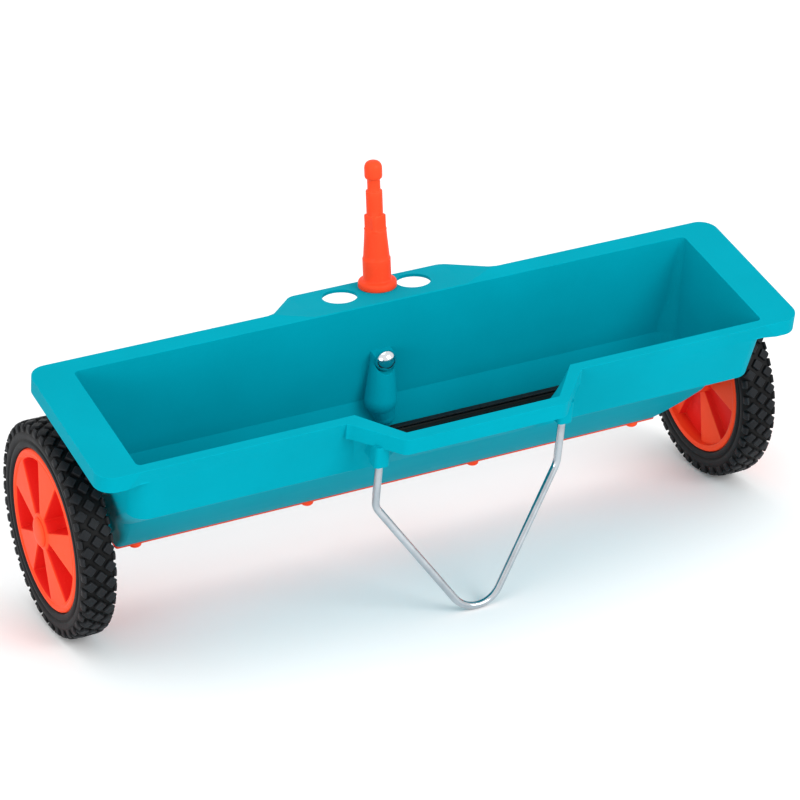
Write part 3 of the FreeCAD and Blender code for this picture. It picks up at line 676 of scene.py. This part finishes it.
def make_disc(sx, node, body, sleeve_in, bore):
    floor_u = lambda r: 283.6 + (r - 12.0) * (1.6 / 48.0)
    spoke_u = lambda r: 299.3 + (r - 14.0) * (-2.6 / 43.4)
    centres = [math.pi - (math.radians(SPOKE0 + 72 * k) - PITCH) for k in range(5)]
    half = math.radians(18.0)

    def ring(r, u, s=0.0, off=0.0, web=False):
        """one ring; s scales the pockets' depth; off moves the walls into the spokes"""
        pts, mask = [], []
        rr = max(r, 14.0)
        for c in sorted(centres, reverse=True):
            # going through decreasing angle: spoke then pocket
            for b, sgn in ((c - half, 1), (c - half - 2 * half, -1)):
                # interior samples before the wall, then the wall
                lo = b + 2 * half
                wall0 = (LAT[-1] + abs(off)) / rr
                n_in = 5
                for k in range(n_in):
                    a0 = lo - wall0
                    a1 = b + wall0
                    t = (k + 0.5) / n_in
                    a = a0 + (a1 - a0) * t
                    inside = sgn < 0
                    p = (1.0 if inside else 0.0) * s
                    pts.append((a, p))
                for x in LAT:
                    lat = x if sgn > 0 else x
                    a = b - (x / rr)
                    # pocket indicator: sgn 1 goes spoke -> pocket with x
                    q = smooth01((x + 1.15) / 2.3)
                    p = (q if sgn > 0 else 1.0 - q) * s
                    a += (off / rr) * (1 if sgn > 0 else -1)
                    pts.append((a, p))
        out, dep = [], []
        for a, p in pts:
            d = (u - floor_u(r)) * p if not web else (u - (floor_u(r) - 3.0)) * p
            out.append(wheel_pt(sx, u - d, r, a))
            dep.append(min(1.0, p / 0.06))
        return out, dep

    rings = []
    add = lambda *a, **k: rings.append(ring(*a, **k))
    add(bore, sleeve_in + 0.6)
    for u in (260.0 if sleeve_in < 258 else 262.0, 275.0, 287.0):
        add(bore, u)
    add(9.0, 287.2)
    add(9.0, 299.4)
    add(9.5, 300.1)
    add(10.4, 300.2)
    add(12.2, 300.2)
    add(13.1, 299.95)
    add(13.7, 299.55)
    for r, s in ((14.2, 0.0), (14.7, 0.06), (15.1, 0.25), (15.5, 0.5), (15.9, 0.75), (16.3, 0.94), (16.9, 1.0),
                 (19, 1), (23, 1), (28, 1), (33, 1), (38, 1), (43, 1), (48, 1), (52, 1), (54.6, 1.0), (55.2, 0.94), (55.6, 0.75),
                 (56.0, 0.5), (56.4, 0.25), (56.8, 0.06), (57.3, 0.0)):
        add(r, spoke_u(r), s)
    for r, u in ((57.8, 296.45), (58.3, 296.3), (58.8, 296.5), (59.4, 296.95), (60.2, 297.2), (61.2, 297.3), (62.3, 297.2), (63.1, 296.8),
                 (63.7, 296.1), (63.95, 295.2), (64.0, 294.0), (64.0, 284.0), (64.0, 274.0), (63.8, 272.8), (63.3, 272.0), (62.5, 271.65),
                 (60.8, 271.6), (59.4, 271.65), (58.7, 272.0), (58.4, 272.9), (58.35, 274.6), (58.3, 275.5)):
        add(r, u)
    for r in (58.1, 57.2, 55, 52, 48, 43, 38, 33, 28, 23, 19, 16.5, 15.2, 14.8):
        add(r, 276.0, 1.0, 0.3, True)
    add(14.7, 275.6)
    add(14.3, 272.0)
    for r, u in ((13.7, 266.0), (13.6, sleeve_in + 3.0), (13.6, sleeve_in + 0.8), (13.3, sleeve_in + 0.2), (12.8, sleeve_in), (bore + 0.7, sleeve_in)):
        add(r, u)
    v, f = ring_mesh([r[0] for r in rings], True, True)
    me = bpy.data.meshes.new(node + "_mesh")
    me.from_pydata([tuple(p) for p in v], [], f)
    # pocket mask for the material: the recessed pockets get the red painted shade and bounce tint
    at = me.attributes.new("pocket", "FLOAT", "POINT")
    dep = [d for r in rings for d in r[1]]
    at.data.foreach_set("value", dep)
    bm_ = bmesh.new()
    bm_.from_mesh(me)
    bmesh.ops.recalc_face_normals(bm_, faces=bm_.faces)
    bm_.to_mesh(me)
    bm_.free()
    me.validate()
    return link_piece(node + "_moulded", me, "wheel_orange", body, (node,), sharp=math.radians(40))


# ---------------------------------------------------------------------------
# lathe pieces along an axis
# ---------------------------------------------------------------------------
def lathe(name, origin, axis, ref, prof, n, mat, body, replaces, shape=None, sharp=math.radians(38), close=True):
    """prof: (radius, height) mm along axis from origin (row frame, m); radius 0 makes a pole"""
    ax = Vector(axis).normalized()
    e1 = (Vector(ref) - ax * Vector(ref).dot(ax)).normalized()
    e2 = ax.cross(e1)
    verts, faces, idx = [], [], []
    for i, pr in enumerate(prof):
        r, h = pr[0], pr[1]
        sq = pr[2] if len(pr) > 2 else 0.0
        if r < 1e-6:
            verts.append(Vector(origin) + ax * h / 1000.0)
            idx.append([len(verts) - 1])
            continue
        row = []
        for k in range(n):
            a = 2 * math.pi * k / n
            rad = r if not shape else shape(r, a, sq)
            verts.append(Vector(origin) + (ax * h + (e1 * math.cos(a) + e2 * math.sin(a)) * rad) / 1000.0)
            row.append(len(verts) - 1)
        idx.append(row)
    m = len(idx)
    for i in range(m if close else m - 1):
        a, b = idx[i], idx[(i + 1) % m]
        if len(a) == 1 and len(b) == 1:
            continue
        for k in range(n):
            k2 = (k + 1) % n
            if len(a) == 1:
                faces.append((a[0], b[k2], b[k]))
            elif len(b) == 1:
                faces.append((a[k], a[k2], b[0]))
            else:
                faces.append((a[k], a[k2], b[k2], b[k]))
    me = mesh_of(name + "_mesh", verts, faces)
    return link_piece(name, me, mat, body, replaces, sharp=sharp)


tyres = [make_tyre(-1, "tyre_left", "drive_axle"), make_tyre(1, "tyre_right", "free_wheel")]
discs = [make_disc(-1, "wheel_disc_left", "drive_axle", 254.0, 5.03), make_disc(1, "wheel_disc_right", "free_wheel", 251.5, 5.05)]

for sx, nm, body in ((-1, "hub_cap_left", "drive_axle"), (1, "hub_cap_right", "free_wheel")):
    cap = [(0, 297.2), (7.6, 297.2), (8.7, 297.4), (8.94, 298.0), (8.94, 300.2), (11.0, 300.25), (11.5, 300.5), (11.55, 300.9), (11.2, 301.4),
           (10.2, 301.9), (8.4, 302.25), (6.0, 302.5), (3.0, 302.65), (0, 302.68)]
    lathe(nm + "_domed", (0, AX_Y / 1000, AX_Z / 1000), (sx, 0, 0), (0, 0, 1), cap, 64, "wheel_orange", body, (nm,))

# handle adapter
ms = REC["mounts"]
seat = [m for m in ms if m["name"] == "handle_seat"][0]
ad_ax = Vector(seat["axis"])
ad_base = Vector(seat["pos_m"]) - ad_ax * 0.0152


def squarish(r, a, sq):
    """circle that turns into a square with rounded corners of half width r as sq goes to 1"""
    if sq <= 0:
        return r
    c, s = abs(math.cos(a)), abs(math.sin(a))
    p = 9.0
    box_r = r / ((c ** p + s ** p) ** (1 / p))
    box_r = min(box_r, r * 1.25)
    return r * (1 - sq) + box_r * sq


ad_prof = [(0, 30.0), (2.05, 30.0), (2.05, 10.0), (2.05, -7.5), (8.4, -7.5), (9.0, -6.9), (9.0, -0.5), (9.1, 0.0), (14.7, 0.0), (15.2, 0.5), (15.3, 1.3),
           (15.3, 3.2), (15.15, 4.4), (14.7, 5.3), (13.9, 5.85), (12.6, 6.15), (11.8, 6.3), (11.3, 6.7), (11.1, 7.6), (11.1, 11.0), (11.1, 15.0),
           (11.1, 19.0), (11.1, 23.6), (11.0, 24.2), (10.75, 24.6), (10.5, 25.0), (10.2, 28.0), (9.8, 33.0), (9.4, 38.0), (9.0, 43.0), (8.75, 46.6),
           (8.65, 47.6), (8.4, 48.2, 0.2), (7.6, 48.7, 0.7), (6.8, 49.2, 1.0), (6.7, 49.9, 1.0), (6.7, 53.0, 1.0), (6.7, 56.5, 1.0), (6.7, 59.2, 1.0),
           (6.6, 59.8, 1.0), (6.4, 60.12, 0.9), (6.35, 60.2, 0.6), (6.4, 60.3, 0.2), (6.5, 60.6), (6.5, 65.0), (6.5, 71.0), (6.5, 77.0), (6.5, 79.6),
           (6.3, 80.05), (5.8, 80.2), (5.3, 80.35), (5.1, 80.8), (5.1, 84.5), (5.1, 88.6), (5.25, 89.4), (5.9, 90.2), (6.7, 91.0), (7.0, 92.1),
           (7.0, 95.3), (7.0, 98.7), (6.85, 100.1), (6.4, 101.5), (5.6, 102.8), (4.4, 103.8), (2.9, 104.37), (1.4, 104.55), (0, 104.57)]
lathe("handle_adapter_moulded", ad_base, ad_ax, Hd(math.cos(math.radians(16)), math.sin(math.radians(16)), 0), ad_prof, 112, "orange", "hopper",
      ("handle_adapter",), squarish, sharp=math.radians(42), close=True)

# ---------------------------------------------------------------------------
# wire rest: round wire drawn along the same legs, bends, V and foot
# ---------------------------------------------------------------------------
LEG_X, LEG_Y, TOP_Z, BEND_Z, FOOT_R, WIRE_R = 77.3, -114.5, 196.3, 131.0, 23.0, 3.0
V_TAN = Vector((18.7, -145.9, 48.8))


def corner(a, b, c, r, n):
    u = (a - b).normalized()
    w = (c - b).normalized()
    half = u.angle(w) / 2
    d = r / math.tan(half)
    cen = b + (u + w).normalized() * (r / math.sin(half))
    p0, p1 = b + u * d, b + w * d
    v0, v1 = p0 - cen, p1 - cen
    tot = v0.angle(v1)
    axis = v0.cross(v1).normalized()
    return [cen + Matrix.Rotation(tot * k / n, 3, axis) @ v0 for k in range(n + 1)]


def flip(v):
    return Vector((-v.x, v.y, v.z))


leg_t, bend = Vector((LEG_X, LEG_Y, TOP_Z)), Vector((LEG_X, LEG_Y, BEND_Z))
dv = (V_TAN - bend).normalized()
apex = bend + dv * (-bend.x / dv.x)
line = [leg_t + (bend - leg_t) * (k / 12) for k in range(9)]
line += corner(leg_t, bend, apex, 13.0, 14)
foot = corner(bend, apex, flip(bend), FOOT_R, 36)
a_, b_ = line[-1], foot[0]
line += [a_ + (b_ - a_) * (k / 10) for k in range(1, 10)]
line += foot[:19]
full = line + [flip(p) for p in reversed(line[:-1])]
rings = []
t_prev = None
n1 = Vector((0, 1, 0))
for i, p in enumerate(full):
    q0, q1 = full[max(i - 1, 0)], full[min(i + 1, len(full) - 1)]
    t = (q1 - q0).normalized()
    n1 = (n1 - t * n1.dot(t)).normalized()
    n2 = t.cross(n1)
    if i == 0:
        for k, rr in ((0.0, 0.35), (0.35, 0.75), (0.8, 0.95)):
            rings.append([H(*(p - t * (-k + 0.0) + (n1 * math.cos(a) + n2 * math.sin(a)) * WIRE_R * rr)) for a in [2 * math.pi * j / 28 for j in range(28)]])
        p = p + t * 1.5
    if i == len(full) - 1:
        p = p - t * 1.5
    rings.append([H(*(p + (n1 * math.cos(a) + n2 * math.sin(a)) * WIRE_R)) for a in [2 * math.pi * j / 28 for j in range(28)]])
    if i == len(full) - 1:
        for k, rr in ((0.7, 0.95), (1.15, 0.75), (1.5, 0.35)):
            rings.append([H(*(p + t * k + (n1 * math.cos(a) + n2 * math.sin(a)) * WIRE_R * rr)) for a in [2 * math.pi * j / 28 for j in range(28)]])
v, f = ring_mesh(rings, True, False, True, True)
link_piece("stand_wire_drawn", mesh_of("stand_wire_mesh", v, f), "chrome", "hopper", ("stand_wire",), sharp=math.radians(50))

# ---------------------------------------------------------------------------
# carried-over nodes: welded copies of the CAD surface with rounded edges
# ---------------------------------------------------------------------------
def refine(node, mat, body, width, seg=2, angle=28.0, name=None, dissolve=1.2, sharp=30.0):
    src = NODES[node].data
    bm_ = bmesh.new()
    bm_.from_mesh(src)
    for lay in list(bm_.loops.layers.float_vector):
        pass
    bmesh.ops.remove_doubles(bm_, verts=bm_.verts, dist=2e-6)
    bmesh.ops.dissolve_degenerate(bm_, edges=bm_.edges, dist=1e-6)
    bmesh.ops.dissolve_limit(bm_, angle_limit=math.radians(dissolve), use_dissolve_boundaries=False, verts=bm_.verts, edges=bm_.edges)
    me = bpy.data.meshes.new((name or node) + "_mesh")
    bm_.to_mesh(me)
    bm_.free()
    for a in [a.name for a in me.attributes]:
        if a in ("custom_normal",):
            me.attributes.remove(me.attributes[a])
    ob = link_piece((name or node) + "_finish", me, mat, body, (node,), sharp=math.radians(sharp))
    if width > 0:
        md = ob.modifiers.new("edges", "BEVEL")
        md.width = width
        md.segments = seg
        md.limit_method = "ANGLE"
        md.angle_limit = math.radians(angle)
        md.use_clamp_overlap = True
        md.harden_normals = True
        md.miter_outer = "MITER_ARC"
    return ob


PIECES = [
    ("hopper_shell", "teal", "hopper", 0.0009, 3),
    ("adapter_washer", "zinc", "hopper", 0.0002, 2),
    ("adapter_screw", "zinc", "hopper", 0.0002, 2),
    ("axle_shaft", "zinc", "drive_axle", 0.0003, 2),
    ("dosing_roller", "black", "drive_axle", 0.0005, 2),
    ("roller_pin", "zinc", "drive_axle", 0.0003, 2),
    ("axle_bush_left", "black", "hopper", 0.0003, 2),
    ("axle_bush_right", "black", "hopper", 0.0003, 2),
    ("seal_lip_rear", "rubber", "hopper", 0.0002, 2),
    ("seal_lip_front", "rubber", "hopper", 0.0002, 2),
    ("drive_pin", "zinc", "drive_axle", 0.0003, 2),
    ("axle_clips", "zinc", "drive_axle", 0.00015, 2),
    ("retaining_washer", "zinc", "drive_axle", 0.00015, 2),
    ("metering_slide", "slide_orange", "metering_slide", 0.0004, 2),
    ("guide_buttons", "orange", "hopper", 0.0003, 2),
    ("guide_rail_left", "teal", "hopper", 0.0003, 2),
    ("guide_rail_right", "teal", "hopper", 0.0003, 2),
    ("rail_screws", "zinc", "hopper", 0.0002, 2),
    ("metering_lever", "orange", "metering_lever", 0.0007, 3),
    ("lever_washer", "zinc", "hopper", 0.00015, 2),
    ("lever_push_nut", "zinc", "hopper", 0.0002, 2),
]
for node, mat, body, w, seg in PIECES:
    refine(node, mat, body, w, seg, sharp=13.0 if node == "hopper_shell" else 30.0)

# lever pin with a polished domed head
pj = JOINTS["lever_swing"]["pos_m"]
pin_o = Vector(pj) - Hd(0, 33.2 / 1000.0, 0)
dome = [(0, 9.5), (1.7, 9.66), (3.4, 10.15), (5.0, 10.95), (6.4, 12.0), (7.6, 13.3), (8.4, 14.6), (8.9, 15.8), (9.08, 16.7), (9.0, 17.2), (8.7, 17.4),
        (6.0, 17.4), (3.4, 17.4), (3.0, 17.8), (3.0, 25.0), (3.0, 38.4), (2.5, 39.0), (0, 39.0)]
lathe("lever_pin_polished", pin_o, Hd(0, 1, 0), Hd(0, 0, 1), dome, 56, "polished", "hopper", ("lever_pin",), close=False)

# raised setting marks on the ledge beside the lever
tv, tf = [], []
for k in range(6):
    x0, half, y0 = -7.0 + 1.76 * k, 0.26, (25.4 if k % 5 == 0 else 27.2)
    b0 = len(tv)
    for z, g in ((103.0, 0.0), (103.45, 0.0), (103.6, 0.09)):
        tv += [H(x0 - half + g, y0 + g, z), H(x0 + half - g, y0 + g, z), H(x0 + half - g, 30.2 - g, z), H(x0 - half + g, 30.2 - g, z)]
    tf.append((b0 + 3, b0 + 2, b0 + 1, b0))
    for i in (0, 4):
        for j in range(4):
            j2 = (j + 1) % 4
            tf.append((b0 + i + j, b0 + i + j2, b0 + i + 4 + j2, b0 + i + 4 + j))
    tf.append((b0 + 8, b0 + 9, b0 + 10, b0 + 11))
link_piece("setting_marks", mesh_of("setting_marks_mesh", tv, tf), "teal", "hopper", ("hopper_shell",), sharp=math.radians(30))
